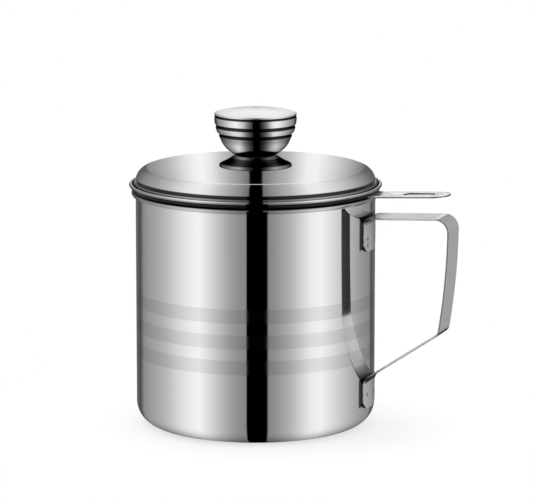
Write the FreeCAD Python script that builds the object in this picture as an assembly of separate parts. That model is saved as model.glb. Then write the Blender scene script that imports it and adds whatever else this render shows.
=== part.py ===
import FreeCAD, Part
import math
import os

from FreeCAD import Vector

# Bacon grease container: a drawn steel pot with a strap handle, a lift-out strainer
# that hangs on the pot's mouth, and a lid with a knob that sits in the strainer.
# Millimetres, +Z up. The origin is the middle of the pot's flat underside and the
# handle points along +X.

# Pot
pot_radius = 60.0             # outside of the wall
pot_sheet = 0.7
pot_height = 118.7            # underside to the top of the rolled bead
pot_corner = 11.6             # outside radius between the bottom and the wall
bead_radius = 1.4             # outside radius of the rolled bead's section
bead_end_gap = 0.25           # between the bead's cut edge and the wall

# Pot handle, one bent strap; places are on its middle line
strap_width = 17.5
strap_sheet = 1.0
strap_root_drop = 10.5        # pot's rim down to where the top run would meet the wall
strap_rise = 2.0              # rise of the top run from the wall to the grip
strap_reach = 42.7            # from the wall to the grip's upper corner
grip_bow_drop = 30.0          # upper corner down to the middle of the grip's bow
grip_bow_inset = 0.55         # how far that middle lies inside the upper corner
grip_length = 57.7            # upper corner down to the lower corner
grip_lean = 4.7               # how far the lower corner lies inside the upper one
strap_foot_height = 26.9      # where the lower run would meet the wall
strap_root_bend = 2.2
grip_top_bend = 6.5
grip_bow_bend = 330.0
grip_foot_bend = 4.0
strap_foot_bend = 6.0
upper_tab_length = 17.0       # from where the top run would meet the wall
lower_tab_length = 15.1       # from where the lower run would meet the wall
tab_corner = 4.2
tab_overlap = 1.0             # how far each wall tab reaches into the strap
tab_cut_depth = 12.0          # of the block that a wall tab is cut from, behind the wall
weld_radius = 1.3
weld_depth = 0.2
weld_half_spacing = 4.9       # marks beside the strap's middle line
upper_weld_rise = 6.5         # upper row of marks above the upper tab's end
weld_row_step = 3.4
lower_weld_rise = 7.1         # marks above the lower tab's end

# Strainer
strainer_sheet = 0.6
strainer_depth = 26.9         # brim's underside to the ledge's underside
strainer_side_gap = 0.6       # between the strainer's wall and the pot's wall
strainer_seat_gap = 0.2       # between the brim and the pot's bead
brim_rise = 1.7               # brim's underside to the underside of its rolled edge
brim_edge_radius = 0.8        # section radius of the rolled edge
brim_overhang = 1.2           # rolled edge beyond the pot's bead
brim_bend = 1.0
ledge_width = 5.9
ledge_bend = 2.5
mesh_sheet = 0.5
mesh_edge_gap = 1.4           # mesh edge inside the outside of the strainer's wall
mesh_ring_sheet = 0.6

# Lifting tab of the strainer
lift_width = 17.5
lift_sheet = 0.8
lift_length = 39.2            # from its root under the brim to its tip
lift_flat = 4.0               # level length at the root
lift_rise = 1.8               # from the level length to the tip
lift_bend = 20.0
lift_root_spare = 1.0         # plate inside its root before the root is trimmed round
lift_trim_height = 20.0       # of the blocks that trim and slot the plate
slot_length = 16.5
slot_width = 7.0
slot_tip_distance = 7.5       # from the slot's end to the tab's tip

# Lid
lid_edge_gap = 0.8            # between the lid's lip and the brim's rolled edge
lid_sheet = 0.6
lid_height = 10.8             # from its seat to its flat top
lid_crown_drop = 0.7          # fall of the top towards the shoulder
lid_crown_bend = 400.0        # between the level middle and the falling crown
lid_shoulder = 6.0
lid_lip_reach = 0.9           # lip beyond the lid's side
lid_lip_rise = 3.3            # top of the lip above the lid's turned edge
lid_lip_bend = 0.4
lid_edge_bend = 1.2
lid_seat_gap = 0.2            # between the lid's turned edge and the brim
lid_skirt_gap = 0.6           # between the lid's skirt and the strainer's wall
lid_skirt_bend = 0.6
lid_skirt_depth = 7.0

# Knob
collar_radius = 18.2
collar_sheet = 0.8
collar_lip = 0.9
collar_height = 5.5
collar_neck_radius = 10.7
collar_waist_radius = 14.0    # outside of the hollow between the lip and the neck
collar_waist_height = 3.0     # of that hollow above the lid's top
collar_lip_bend = 0.8
collar_waist_bend = 12.0
collar_neck_bend = 0.9
bowl_sheet = 0.8
bowl_height = 20.6            # from the collar's top to the cap
bowl_foot_radius = 10.7
bowl_belly_radius = 15.9
bowl_belly_height = 4.6       # heights in the bowl are above the collar's top
bowl_shoulder_radius = 20.1
bowl_shoulder_height = 13.8
bowl_radius = 20.7            # widest, below the rim
bowl_wide_height = 19.0
bowl_rim_inset = 0.6          # how far the rim draws in from the widest place
bowl_foot_bend = 0.9
bowl_belly_bend = 12.0
bowl_shoulder_bend = 14.0
bowl_rim_bend = 4.0
groove_radius = 1.3
groove_depth = 0.45
upper_groove_height = 15.0
lower_groove_height = 10.7
cap_overhang = 0.45           # cap beyond the bowl's rim
cap_sheet = 0.8
cap_edge = 0.6                # straight side of the cap
cap_crown = 2.9               # rise of the dome
cap_edge_round = 0.45

# Fastening of the knob
screw_radius = 2.4
screw_hole_gap = 0.25
screw_length = 18.5           # below its head
screw_head_radius = 4.6
screw_head_height = 2.8
screw_head_round = 0.9
cross_length = 4.8
cross_width = 1.0
cross_depth = 1.6
thread_gap = 0.05             # between the screw and the boss
washer_radius = 6.5
washer_sheet = 1.0
lock_washer_radius = 4.5
lock_washer_sheet = 1.2
lock_washer_split = 0.8
boss_radius = 5.5
boss_flange_radius = 9.0
boss_flange = 2.0
boss_height = 11.0
boss_end_wall = 1.5

same_place = 0.001            # nearer than this counts as the same place

# Places worked out from the sizes above
pot_bore = pot_radius - pot_sheet
strap_root_height = pot_height - strap_root_drop
upper_tab_end = strap_root_height - upper_tab_length
lower_tab_end = strap_foot_height - lower_tab_length
bead_centre_radius = pot_bore + bead_radius
bead_centre_height = pot_height - bead_radius
brim_under = pot_height + strainer_seat_gap
brim_top = brim_under + strainer_sheet
strainer_radius = pot_bore - strainer_side_gap
brim_radius = bead_centre_radius + bead_radius + brim_overhang
brim_edge_centre = brim_radius - brim_edge_radius
brim_edge_height = brim_under + brim_rise + brim_edge_radius
brim_web_radius = brim_edge_centre - brim_edge_radius
ledge_under = brim_under - strainer_depth
mesh_radius = strainer_radius - mesh_edge_gap
mesh_ring_bore = strainer_radius - ledge_width
lid_radius = brim_web_radius - lid_edge_gap
lid_side_radius = lid_radius - lid_lip_reach
lid_seat = brim_top + lid_seat_gap
lid_top = lid_seat + lid_height
skirt_radius = strainer_radius - strainer_sheet - lid_skirt_gap
screw_hole = screw_radius + screw_hole_gap
collar_top = lid_top + collar_height
cap_under = collar_top + bowl_height
cap_radius = bowl_radius - bowl_rim_inset + cap_overhang
lid_under = lid_top - lid_sheet
washer_under = lid_under - washer_sheet
lock_washer_under = washer_under - lock_washer_sheet


def at(point):
    """A place on the X-Z plane."""
    return Vector(point[0], 0, point[1])


def line(start, end):
    """Straight edge between two places on the section."""
    return Part.makeLine(at(start), at(end))


def arc(start, middle, end):
    """Round edge through three places on the section."""
    return Part.Arc(at(start), at(middle), at(end)).toShape()


def polar(centre, radius, degrees):
    """Place at a distance and an angle from a centre; angle 0 points outwards."""
    angle = math.radians(degrees)
    return (centre[0] + radius * math.cos(angle), centre[1] + radius * math.sin(angle))


def unit(start, end):
    """Direction from one place to another."""
    length = math.hypot(end[0] - start[0], end[1] - start[1])
    return ((end[0] - start[0]) / length, (end[1] - start[1]) / length)


def moved(point, direction, distance):
    """A place moved along a direction."""
    return (point[0] + direction[0] * distance, point[1] + direction[1] * distance)


def left_of(direction):
    """The direction a quarter turn to the left."""
    return (-direction[1], direction[0])


def bend(before, corner, after, radius):
    """Start, middle and end of the arc that rounds a corner, each with its left side."""
    into = unit(before, corner)
    out = unit(corner, after)
    turn = math.acos(max(-1.0, min(1.0, into[0] * out[0] + into[1] * out[1])))
    setback = radius * math.tan(turn / 2)
    across = unit((0, 0), (left_of(into)[0] + left_of(out)[0], left_of(into)[1] + left_of(out)[1]))
    side = math.copysign(1.0, into[0] * out[1] - into[1] * out[0])
    to_arc = radius / math.cos(turn / 2) - radius
    start = moved(corner, into, -setback)
    end = moved(corner, out, setback)
    middle = moved(corner, across, side * to_arc)
    return ((start, left_of(into)), (middle, across), (end, left_of(out)))


def side_edges(points, bends, offset):
    """One side of a bent sheet, as lines and arcs beside its middle line."""
    first = moved(points[0], left_of(unit(points[0], points[1])), offset)
    last = moved(points[-1], left_of(unit(points[-2], points[-1])), offset)
    edges = []
    here = first
    for before, corner, after, radius in zip(points, points[1:], points[2:], bends):
        start, middle, end = [moved(p, n, offset) for p, n in bend(before, corner, after, radius)]
        edges.append(line(here, start))
        edges.append(arc(start, middle, end))
        here = end
    edges.append(line(here, last))
    return first, last, edges


def sheet_face(points, bends, sheet):
    """Section of a bent sheet whose middle line runs through the points."""
    left_first, left_last, left = side_edges(points, bends, sheet / 2)
    right_first, right_last, right = side_edges(points, bends, -sheet / 2)
    edges = left + [line(left_last, right_last)] + right[::-1] + [line(right_first, left_first)]
    return Part.Face(Part.Wire(Part.__sortEdges__(edges)))


def turned(face):
    """A section turned all the way round the vertical axis."""
    return face.revolve(Vector(0, 0, 0), Vector(0, 0, 1), 360)


def ring(outer, inner, low, high):
    """Upright tube or flat washer round the vertical axis."""
    body = Part.makeCylinder(outer, high - low, Vector(0, 0, low))
    return body.cut(Part.makeCylinder(inner, high - low, Vector(0, 0, low)))


def make_pot_body():
    """Drawn can: flat floor, round corner, straight wall and an outward rolled bead."""
    corner_centre = (pot_radius - pot_corner, pot_corner)
    bead = (bead_centre_radius, bead_centre_height)
    inner_bead = bead_radius - pot_sheet
    cut_edge = math.acos((bead_centre_radius - pot_radius - bead_end_gap) / bead_radius)
    end = -(180 - math.degrees(cut_edge))
    half_way = (180 + end) / 2
    edges = [
        line((0, pot_sheet), (corner_centre[0], pot_sheet)),
        arc((corner_centre[0], pot_sheet), polar(corner_centre, pot_corner - pot_sheet, -45),
            (pot_bore, pot_corner)),
        line((pot_bore, pot_corner), (pot_bore, bead_centre_height)),
        arc((pot_bore, bead_centre_height), polar(bead, bead_radius, half_way),
            polar(bead, bead_radius, end)),
        line(polar(bead, bead_radius, end), polar(bead, inner_bead, end)),
        arc(polar(bead, inner_bead, end), polar(bead, inner_bead, half_way),
            (pot_radius, bead_centre_height)),
        line((pot_radius, bead_centre_height), (pot_radius, pot_corner)),
        arc((pot_radius, pot_corner), polar(corner_centre, pot_corner, -45),
            (corner_centre[0], 0)),
        line((corner_centre[0], 0), (0, 0)),
        line((0, 0), (0, pot_sheet)),
    ]
    return turned(Part.Face(Part.Wire(edges)))


def wall_tab(free_end, root):
    """Curved plate that lies on the pot's wall, with its two free corners rounded."""
    half = strap_width / 2
    near = pot_radius - tab_cut_depth
    low, high = min(free_end, root), max(free_end, root)
    deep = tab_cut_depth + strap_width
    block = Part.makeBox(deep, strap_width, high - low, Vector(near, -half, low))
    corners = [e for e in block.Edges if is_free_corner(e, free_end)]
    block = block.makeFillet(tab_corner, corners)
    shell = ring(pot_radius + strap_sheet, pot_radius, low, high)
    return block.common(shell)


def is_free_corner(edge, height):
    """True for the two edges along X at the tab's free end."""
    ends = [v.Point for v in edge.Vertexes]
    along_x = abs(ends[0].x - ends[1].x) > same_place
    return along_x and all(abs(p.z - height) < same_place for p in ends)


def weld_mark(side, height):
    """Shallow round dimple left by a spot weld in a wall tab."""
    ball = (weld_radius ** 2 + weld_depth ** 2) / (2 * weld_depth)
    angle = math.asin(side / (pot_radius + strap_sheet))
    reach = pot_radius + strap_sheet + ball - weld_depth
    return Part.makeSphere(ball, Vector(reach * math.cos(angle), reach * math.sin(angle), height))


def make_pot_handle():
    """Strap bent out of one strip, with a curved tab at each end."""
    sag = pot_radius - math.sqrt(pot_radius ** 2 - (strap_width / 2) ** 2)
    wall = pot_radius + (strap_sheet - sag) / 2
    grip = pot_radius + strap_sheet / 2 + strap_reach
    grip_top = strap_root_height + strap_rise
    points = [
        (wall, strap_root_height - strap_root_bend - tab_overlap),
        (wall, strap_root_height),
        (grip, grip_top),
        (grip - grip_bow_inset, grip_top - grip_bow_drop),
        (grip - grip_lean, grip_top - grip_length),
        (wall, strap_foot_height),
        (wall, strap_foot_height - strap_foot_bend),
    ]
    bends = [strap_root_bend, grip_top_bend, grip_bow_bend, grip_foot_bend, strap_foot_bend]
    flat = sheet_face(points, bends, strap_sheet)
    flat.translate(Vector(0, -strap_width / 2, 0))
    strap = flat.extrude(Vector(0, strap_width, 0))
    strap = strap.fuse(wall_tab(upper_tab_end, points[0][1] + tab_overlap))
    strap = strap.fuse(wall_tab(lower_tab_end, points[-1][1] + tab_overlap))
    strap = strap.cut(Part.makeCylinder(pot_radius, pot_height))
    marks = [
        weld_mark(-weld_half_spacing, upper_tab_end + upper_weld_rise),
        weld_mark(weld_half_spacing, upper_tab_end + upper_weld_rise),
        weld_mark(-weld_half_spacing, upper_tab_end + upper_weld_rise - weld_row_step),
        weld_mark(-weld_half_spacing, lower_tab_end + lower_weld_rise),
        weld_mark(weld_half_spacing, lower_tab_end + lower_weld_rise),
    ]
    for mark in marks:
        strap = strap.cut(mark)
    return strap.removeSplitter()


def make_strainer_cup():
    """Pressed cup: inward ledge, wall, flat brim on the pot's bead and a rolled edge."""
    half = strainer_sheet / 2
    wall = strainer_radius - half
    points = [
        (strainer_radius - ledge_width, ledge_under + half),
        (wall, ledge_under + half),
        (wall, brim_under + half),
        (brim_web_radius + half, brim_under + half),
        (brim_web_radius + half, brim_edge_height),
    ]
    brim_web_bend = strainer_sheet
    cup = turned(sheet_face(points, [ledge_bend, brim_bend, brim_web_bend], strainer_sheet))
    edge = Part.makeTorus(brim_edge_centre, brim_edge_radius, Vector(0, 0, brim_edge_height))
    return cup.fuse(edge).removeSplitter()


def make_strainer_mesh():
    """The woven disc, as a plain sheet of the mesh's thickness."""
    return Part.makeCylinder(mesh_radius, mesh_sheet, Vector(0, 0, ledge_under - mesh_sheet))


def make_strainer_mesh_ring():
    """Flat ring that clamps the mesh under the ledge."""
    high = ledge_under - mesh_sheet
    return ring(mesh_radius, mesh_ring_bore, high - mesh_ring_sheet, high)


def make_strainer_tab():
    """Lifting tab: level root under the rolled edge, slight rise, round tip and slot."""
    root = brim_web_radius + strainer_sheet
    level = brim_under + lift_sheet / 2
    tip = root + lift_length
    start = root - lift_root_spare
    points = [(start, level), (root + lift_flat, level), (tip, level + lift_rise)]
    flat = sheet_face(points, [lift_bend], lift_sheet)
    flat.translate(Vector(0, -lift_width / 2, 0))
    plate = flat.extrude(Vector(0, lift_width, 0))
    plate = plate.common(round_bar(0, tip, lift_width, level))
    slot_end = tip - slot_tip_distance
    plate = plate.cut(round_bar(slot_end - slot_length, slot_end, slot_width, level))
    trim_low = level - lift_trim_height / 2
    return plate.cut(Part.makeCylinder(root, lift_trim_height, Vector(0, 0, trim_low)))


def round_bar(start, end, width, height):
    """Upright block with half round ends along X, used to trim or slot the tab."""
    radius = width / 2
    tall = lift_trim_height
    low = height - tall / 2
    bar = Part.makeBox(end - start - width, width, tall, Vector(start + radius, -radius, low))
    for x in (start + radius, end - radius):
        bar = bar.fuse(Part.makeCylinder(radius, tall, Vector(x, 0, low)))
    return bar


def make_lid_shell():
    """Pressed lid: near flat top, round shoulder, narrow lip turned under, inner skirt."""
    half = lid_sheet / 2
    side = lid_side_radius - half
    edge = lid_radius - half
    lip = lid_seat + lid_lip_rise - half
    skirt = skirt_radius - half
    points = [
        (screw_hole, lid_top - half),
        (collar_radius, lid_top - half),
        (side, lid_top - half - lid_crown_drop),
        (side, lip),
        (edge, lip),
        (edge, lid_seat + half),
        (skirt, lid_seat + half),
        (skirt, lid_seat - lid_skirt_depth),
    ]
    side_bends = [lid_shoulder, lid_lip_bend, lid_lip_bend]
    bends = [lid_crown_bend] + side_bends + [lid_edge_bend, lid_skirt_bend]
    return turned(sheet_face(points, bends, lid_sheet))


def make_knob_collar():
    """Flared foot of the knob: short lip on the lid, hollow waist and level top."""
    half = collar_sheet / 2
    rim = collar_radius - half
    neck = collar_neck_radius - half
    waist = collar_waist_radius - half
    points = [
        (rim, lid_top),
        (rim, lid_top + collar_lip),
        (waist, lid_top + collar_waist_height),
        (neck, collar_top - half),
        (screw_hole, collar_top - half),
    ]
    bends = [collar_lip_bend, collar_waist_bend, collar_neck_bend]
    return turned(sheet_face(points, bends, collar_sheet))


def bowl_points():
    """Outside of the bowl's bent sheet before its bends are rounded."""
    return [
        (bowl_foot_radius, collar_top),
        (bowl_belly_radius, collar_top + bowl_belly_height),
        (bowl_shoulder_radius, collar_top + bowl_shoulder_height),
        (bowl_radius, collar_top + bowl_wide_height),
        (bowl_radius - bowl_rim_inset, cap_under),
    ]


def bowl_radius_at(height):
    """Outside radius of the bowl at a height, between two of its points."""
    for low, high in zip(bowl_points(), bowl_points()[1:]):
        if height <= high[1]:
            break
    share = (height - low[1]) / (high[1] - low[1])
    return low[0] + share * (high[0] - low[0])


def make_knob_bowl():
    """Bowl of the knob with two shallow grooves turned in its side."""
    half = bowl_sheet / 2
    foot, belly, shoulder, wide, rim = [(r - half, z) for r, z in bowl_points()]
    floor = collar_top + half
    points = [(screw_hole, floor), (foot[0], floor), belly, shoulder, wide, rim]
    bends = [bowl_foot_bend, bowl_belly_bend, bowl_shoulder_bend, bowl_rim_bend]
    bowl = turned(sheet_face(points, bends, bowl_sheet))
    bowl = bowl.common(Part.makeCylinder(bowl_radius, cap_under))
    for rise in (upper_groove_height, lower_groove_height):
        height = collar_top + rise
        major = bowl_radius_at(height) + groove_radius - groove_depth
        bowl = bowl.cut(Part.makeTorus(major, groove_radius, Vector(0, 0, height)))
    return bowl


def make_knob_cap():
    """Domed disc with a short straight side that closes the bowl."""
    shoulder = cap_under + cap_edge
    dome = (cap_radius ** 2 + cap_crown ** 2) / (2 * cap_crown)
    centre = (0, shoulder + cap_crown - dome)
    half_angle = math.degrees(math.asin(cap_radius / dome)) / 2
    inner = cap_radius - cap_sheet
    inner_dome = dome - cap_sheet
    inner_edge = math.sqrt(inner_dome ** 2 - inner ** 2) + centre[1]
    edges = [
        line((cap_radius, cap_under), (cap_radius, shoulder)),
        arc((cap_radius, shoulder), polar(centre, dome, 90 - half_angle), (0, centre[1] + dome)),
        line((0, centre[1] + dome), (0, centre[1] + inner_dome)),
        arc((0, centre[1] + inner_dome), polar(centre, inner_dome, 90 - half_angle),
            (inner, inner_edge)),
        line((inner, inner_edge), (inner, cap_under)),
        line((inner, cap_under), (cap_radius, cap_under)),
    ]
    cap = turned(Part.Face(Part.Wire(edges)))
    corner = [e for e in cap.Edges if is_circle_at(e, cap_radius, shoulder)]
    return cap.makeFillet(cap_edge_round, corner)


def is_circle_at(edge, radius, height):
    """True for a round edge of that radius at that height."""
    if edge.Degenerated or not isinstance(edge.Curve, Part.Circle):
        return False
    curve = edge.Curve
    return abs(curve.Radius - radius) < same_place and abs(curve.Center.z - height) < same_place


def make_knob_insert():
    """Threaded boss that stands on the bowl's floor."""
    low = collar_top + bowl_sheet
    boss = Part.makeCylinder(boss_flange_radius, boss_flange, Vector(0, 0, low))
    boss = boss.fuse(Part.makeCylinder(boss_radius, boss_height, Vector(0, 0, low)))
    bore = Part.makeCylinder(screw_radius + thread_gap, boss_height - boss_end_wall,
                             Vector(0, 0, low))
    return boss.cut(bore).removeSplitter()


def make_knob_screw():
    """Pan head screw with a cross recess, its head under the lid."""
    head_low = lock_washer_under - screw_head_height
    head = Part.makeCylinder(screw_head_radius, screw_head_height, Vector(0, 0, head_low))
    low_rim = [e for e in head.Edges if is_circle_at(e, screw_head_radius, head_low)]
    head = head.makeFillet(screw_head_round, low_rim)
    shank = Part.makeCylinder(screw_radius, screw_length, Vector(0, 0, lock_washer_under))
    screw = head.fuse(shank)
    for length, width in ((cross_length, cross_width), (cross_width, cross_length)):
        slot = Part.makeBox(length, width, cross_depth, Vector(-length / 2, -width / 2, head_low))
        screw = screw.cut(slot)
    return screw.removeSplitter()


def make_knob_washer():
    """Flat washer against the underside of the lid."""
    return ring(washer_radius, screw_hole, washer_under, lid_under)


def make_knob_lock_washer():
    """Flattened spring washer with its split."""
    washer = ring(lock_washer_radius, screw_hole, lock_washer_under, washer_under)
    split = Part.makeBox(lock_washer_radius * 2, lock_washer_split, lock_washer_sheet,
                         Vector(0, -lock_washer_split / 2, lock_washer_under))
    return washer.cut(split)


def save(name, shape):
    """Write one piece and print what it is, so that a bad solid is seen at once."""
    solid = shape.Solids[0] if len(shape.Solids) == 1 else shape
    box = solid.BoundBox
    print("%-20s solids %d valid %s volume %9.2f  z %7.2f to %7.2f" % (
        name, len(shape.Solids), solid.isValid(), solid.Volume, box.ZMin, box.ZMax))
    solid.exportStep("parts/" + name + ".step")


os.makedirs("parts", exist_ok=True)
save("pot_body", make_pot_body())
save("pot_handle", make_pot_handle())
save("strainer_cup", make_strainer_cup())
save("strainer_mesh", make_strainer_mesh())
save("strainer_mesh_ring", make_strainer_mesh_ring())
save("strainer_tab", make_strainer_tab())
save("lid_shell", make_lid_shell())
save("knob_collar", make_knob_collar())
save("knob_bowl", make_knob_bowl())
save("knob_cap", make_knob_cap())
save("knob_insert", make_knob_insert())
save("knob_screw", make_knob_screw())
save("knob_washer", make_knob_washer())
save("knob_lock_washer", make_knob_lock_washer())
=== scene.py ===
"""Bacon grease container: the shown pieces, their finishes and a studio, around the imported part.

Metres, +Z up. The middle of the pot's underside is at the origin and the handle points along +X.
"""

import math

import bmesh
import bpy
from bpy.props import FloatProperty, FloatVectorProperty, IntProperty, PointerProperty
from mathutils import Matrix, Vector


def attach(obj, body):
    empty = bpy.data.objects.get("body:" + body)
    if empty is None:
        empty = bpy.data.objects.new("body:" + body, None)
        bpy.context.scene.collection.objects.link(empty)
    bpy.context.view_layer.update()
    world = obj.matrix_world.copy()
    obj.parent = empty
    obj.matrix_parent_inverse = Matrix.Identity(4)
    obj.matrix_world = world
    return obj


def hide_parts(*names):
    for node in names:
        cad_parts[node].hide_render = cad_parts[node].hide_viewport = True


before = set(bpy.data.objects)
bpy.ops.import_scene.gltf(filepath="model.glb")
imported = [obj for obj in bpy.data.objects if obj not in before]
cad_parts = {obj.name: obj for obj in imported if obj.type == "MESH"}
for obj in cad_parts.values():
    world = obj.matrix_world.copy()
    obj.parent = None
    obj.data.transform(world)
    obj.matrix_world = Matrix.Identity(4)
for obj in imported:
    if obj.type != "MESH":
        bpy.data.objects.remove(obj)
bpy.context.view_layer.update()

bl_info = {
    "name": "Bacon grease container",
    "version": (1, 0, 0),
    "blender": (4, 5, 0),
    "location": "3D View > Sidebar > Grease can",
    "description": "Builds a drawn steel grease can with its strainer, lid, knob and studio",
    "category": "Object",
}

MM = 0.001
MICRON = 0.000001

# Least straight or radius and least step between two rows, both in millimetres, and the
# distance in metres within which two corners of a mesh are one
TINY = 1e-6
SAME_PLACE = 1e-4
MERGE_WITHIN = 1e-7

# Pot, in millimetres
POT_RADIUS = 60.0
POT_SHEET = 0.7
POT_CORNER = 11.6
NEAR_BEND = 0.3
BEAD_RADIUS = 1.4
BEAD_CENTRE = (60.7, 117.3)
BEAD_END = -108.7
BAND_COUNT = 3

# Pot handle, in millimetres, with the places on its middle line
STRAP_WIDTH = 17.5
STRAP_SHEET = 1.0
STRAP_EDGE = 0.28
STRAP_SPACING = 1.0
STRAP_COLUMNS = 40
STRAP_POINTS = [(60.18, 91.2), (60.18, 108.2), (103.2, 110.2), (102.65, 80.2), (98.5, 52.5),
                (60.18, 26.9), (60.18, 11.8)]
STRAP_BENDS = [2.2, 6.5, 330.0, 4.0, 6.0]
TAB_CORNER = 4.2
BETWEEN_TABS = 60.0
ROOT_REACH = 4.0
WELD_RADIUS = 1.3
WELD_DEPTH = 0.2
WELDS = [(-4.9, 97.7), (4.9, 97.7), (-4.9, 94.3), (-4.9, 18.9), (4.9, 18.9)]

# Strainer, in millimetres
CUP_SHEET = 0.6
CUP_POINTS = [(52.8, 92.3), (58.4, 92.3), (58.4, 119.2), (62.0, 119.2), (62.0, 120.8)]
CUP_BENDS = [2.5, 1.0, 0.6]
BRIM_EDGE_CENTRE = (62.5, 121.4)
BRIM_EDGE_RADIUS = 0.8
BRIM_EDGE_END = -104.5
MESH_RADIUS = 57.3
MESH_MIDDLE = 91.75
WIRE_WAVE = 1.04
TAB_WIDTH = 17.5
TAB_SHEET = 0.8
TAB_EDGE = 0.18
TAB_ROOT = 62.3
TAB_LEVEL = 119.3
TAB_FLAT_END = 66.3
TAB_TIP = 101.5
TAB_RISE = 1.8
SLOT = (77.5, 94.0)
SLOT_WIDTH = 7.0

# Lid, in millimetres
LID_SHEET = 0.6
LID_POINTS = [(2.65, 130.2), (28.6, 130.2), (54.6, 129.59), (59.7, 128.03), (59.7, 122.7),
              (60.6, 122.7), (60.6, 120.0), (57.2, 120.0), (57.2, 112.7)]
LID_BENDS = [2200.0, 0.0, 6.4, 0.4, 0.4, 1.2, 0.6]
# Where the top breaks over into the shoulder, on the outside
LID_CREASE = (54.6, 129.89)

# Knob, in millimetres
COLLAR_SHEET = 0.8
COLLAR_POINTS = [(17.8, 130.5), (17.8, 131.4), (13.6, 133.5), (10.3, 135.6), (2.65, 135.6)]
COLLAR_BENDS = [0.8, 12.0, 0.9]
BOWL_SHEET = 0.8
BOWL_POINTS = [(2.65, 136.4), (10.3, 136.4), (15.5, 140.6), (19.7, 149.8), (20.3, 155.0),
               (19.7, 156.6)]
BOWL_BENDS = [0.9, 12.0, 14.0, 4.0]
GROOVES = [151.0, 146.7]
GROOVE_RADIUS = 1.3
GROOVE_DEPTH = 0.45
CAP_RADIUS = 20.55
CAP_SHEET = 0.8
CAP_UNDER = 156.6
CAP_EDGE = 0.6
CAP_CROWN = 2.9
CAP_ROUND = 0.45
CAP_STEPS = 96

# Faint rings of the polish: cells of noise in a metre
RING_SCALE = 4000.0

# Camera and floor, in degrees and millimetres
CAMERA_TURN = 19.3
CAMERA_PITCH = 10.169
CAMERA_PLACE = (604.2, -1708.7, 412.5)
FLOOR_DROP = 0.05


class CanSizes(bpy.types.PropertyGroup):
    """Sizes of the shown pieces that aren't fixed by the part."""
    turn_steps: IntProperty(
        name="Steps round", description="Faces round a turned piece", default=192, min=24)
    arc_step: FloatProperty(
        name="Bend step", description="Angle between two rows of points in a bend",
        default=math.radians(7.5), subtype="ANGLE", unit="ROTATION")
    mesh_pitch: FloatProperty(
        name="Mesh pitch", description="Distance between two wires of the strainer's mesh",
        default=0.0016, unit="LENGTH")
    mesh_wire: FloatProperty(
        name="Mesh wire", description="Radius of a wire of the strainer's mesh",
        default=0.00012, unit="LENGTH")
    band_low: FloatProperty(
        name="Lowest band", description="Height of the lowest satin band's lower edge",
        default=0.0361, unit="LENGTH")
    band_step: FloatProperty(
        name="Band spacing", description="Distance from one satin band to the next",
        default=0.01275, unit="LENGTH")
    band_width: FloatProperty(
        name="Band width", description="Width of a satin band", default=0.007, unit="LENGTH")


class CanFinish(bpy.types.PropertyGroup):
    """Colours of the finishes."""
    mirror: FloatVectorProperty(
        name="Mirror steel", description="Colour of the mirror polished steel",
        default=(0.86, 0.86, 0.86), subtype="COLOR", min=0, max=1)
    satin: FloatVectorProperty(
        name="Satin steel", description="Colour of the satin steel of the mesh",
        default=(0.62, 0.62, 0.62), subtype="COLOR", min=0, max=1)
    strap: FloatVectorProperty(
        name="Strap steel", description="Colour of the tumbled steel of the handle",
        default=(0.82, 0.82, 0.82), subtype="COLOR", min=0, max=1)
    tab: FloatVectorProperty(
        name="Tab steel", description="Colour of the polished lifting tab",
        default=(0.85, 0.85, 0.85), subtype="COLOR", min=0, max=1)
    plated: FloatVectorProperty(
        name="Plated steel", description="Colour of the screw and its washers",
        default=(0.6, 0.6, 0.61), subtype="COLOR", min=0, max=1)
    plastic: FloatVectorProperty(
        name="Boss plastic", description="Colour of the moulded boss in the knob",
        default=(0.03, 0.03, 0.032), subtype="COLOR", min=0, max=1)


class CanStudio(bpy.types.PropertyGroup):
    """Camera, floor and light."""
    lens: FloatProperty(
        name="Lens", description="Focal length of the camera in millimetres", default=247.7)
    floor_radius: FloatProperty(
        name="Floor radius", description="Radius of the pale floor", default=0.15,
        unit="LENGTH")
    surround_radius: FloatProperty(
        name="Surround radius", description="Radius of the light surround", default=20.0,
        unit="LENGTH")


def unit(vector):
    length = math.hypot(*vector)
    return (vector[0] / length, vector[1] / length)


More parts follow.
